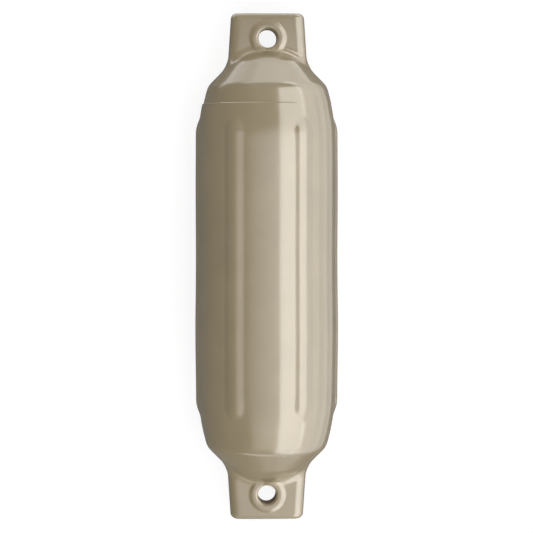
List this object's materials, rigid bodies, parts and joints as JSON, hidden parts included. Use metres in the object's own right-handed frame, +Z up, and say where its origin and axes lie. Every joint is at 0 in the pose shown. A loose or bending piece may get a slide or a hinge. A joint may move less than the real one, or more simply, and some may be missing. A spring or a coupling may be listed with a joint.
{
  "type": "inflatable boat fender",
  "caption": "Ribbed cylindrical vinyl boat fender with domed ends and a collared rope eye in a flat tab at each end.",
  "frame": {"origin": "under the middle of the fender, on the surface it lies on", "axes": "+Y along the fender towards the end with the parting line and the valve, +Z up, square to the flat faces of the eye tabs"},
  "size_m": [0.1424, 0.509, 0.137],
  "materials": {
    "vinyl": "sand-coloured glossy moulded vinyl",
    "valve_nylon": "pale satin nylon",
    "seal_rubber": "black rubber"
  },
  "bodies": {
    "root": {"fender_body": "vinyl", "valve_bush": "valve_nylon", "valve_screw": "valve_nylon", "valve_seal": "seal_rubber"}
  },
  "joints": []
}
